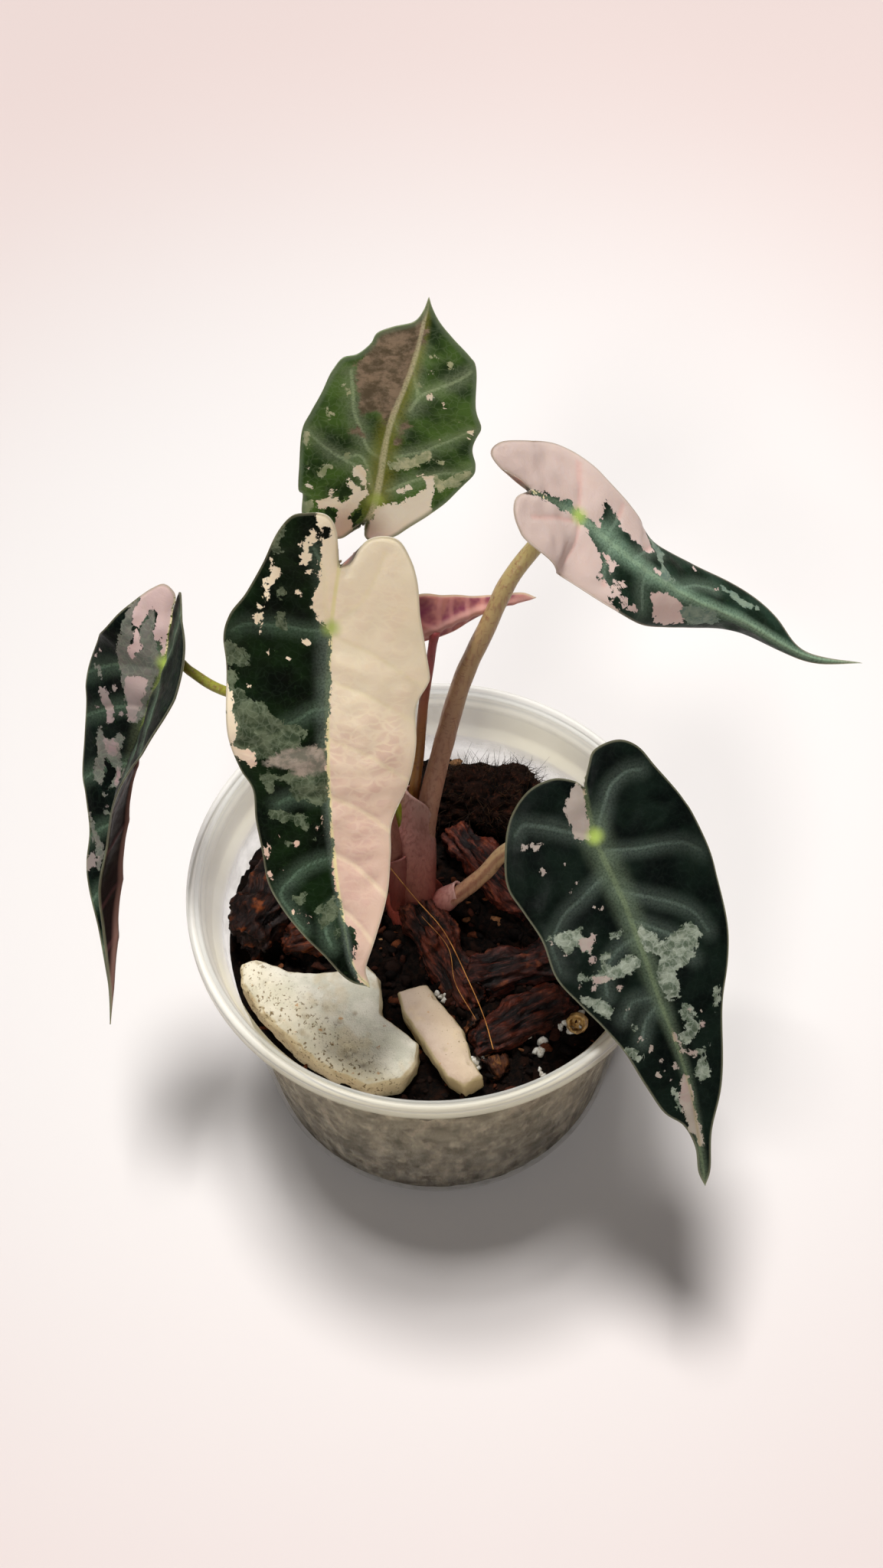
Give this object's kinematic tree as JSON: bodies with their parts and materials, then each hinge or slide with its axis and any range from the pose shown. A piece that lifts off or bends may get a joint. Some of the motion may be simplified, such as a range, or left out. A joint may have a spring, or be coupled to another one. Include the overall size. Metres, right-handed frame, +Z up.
{
  "type": "potted foliage plant",
  "caption": "Small potted foliage plant: long arrow-shaped, variegated leaves on slender stalks from a short crown, in a translucent round plastic cup of bark, coir and pumice.",
  "frame": {"origin": "centre of the cup's flat underside, on the surface that it stands on", "axes": "+Z up along the cup's axis, +X to the right and +Y to the back as seen from the front; the underside faces -Z"},
  "size_m": [0.1783, 0.129, 0.2261],
  "materials": {
    "cup": "translucent, smooth",
    "soil": "crumbly, matt, with white perlite",
    "crown": "smooth pink sheaths",
    "prill": "waxy tan shell",
    "pumice": "pitted, off-white",
    "coir": "fuzzy dark fibre",
    "bark": "rough, red-brown, damp",
    "stalk": "smooth, finely striped and dotted",
    "blade": "dark green with pink and cream patches, slightly glossy"
  },
  "bodies": {
    "root": {"cup": "cup", "soil": "soil", "crown": "crown", "prill": "prill", "pumice_large": "pumice", "pumice_small": "pumice", "coir_chunk": "coir", "bark_left": "bark", "bark_left_front": "bark", "bark_centre": "bark", "bark_right_back": "bark", "bark_right": "bark", "bark_right_front": "bark", "bark_front": "bark", "bark_between": "bark", "stalk_top": "stalk", "blade_top": "blade", "stalk_front": "stalk", "blade_front": "blade", "stalk_left": "stalk", "blade_left": "blade", "stalk_right": "stalk", "blade_right": "blade", "stalk_low": "stalk", "blade_low": "blade", "stalk_back": "stalk", "blade_back": "blade"}
  },
  "joints": []
}
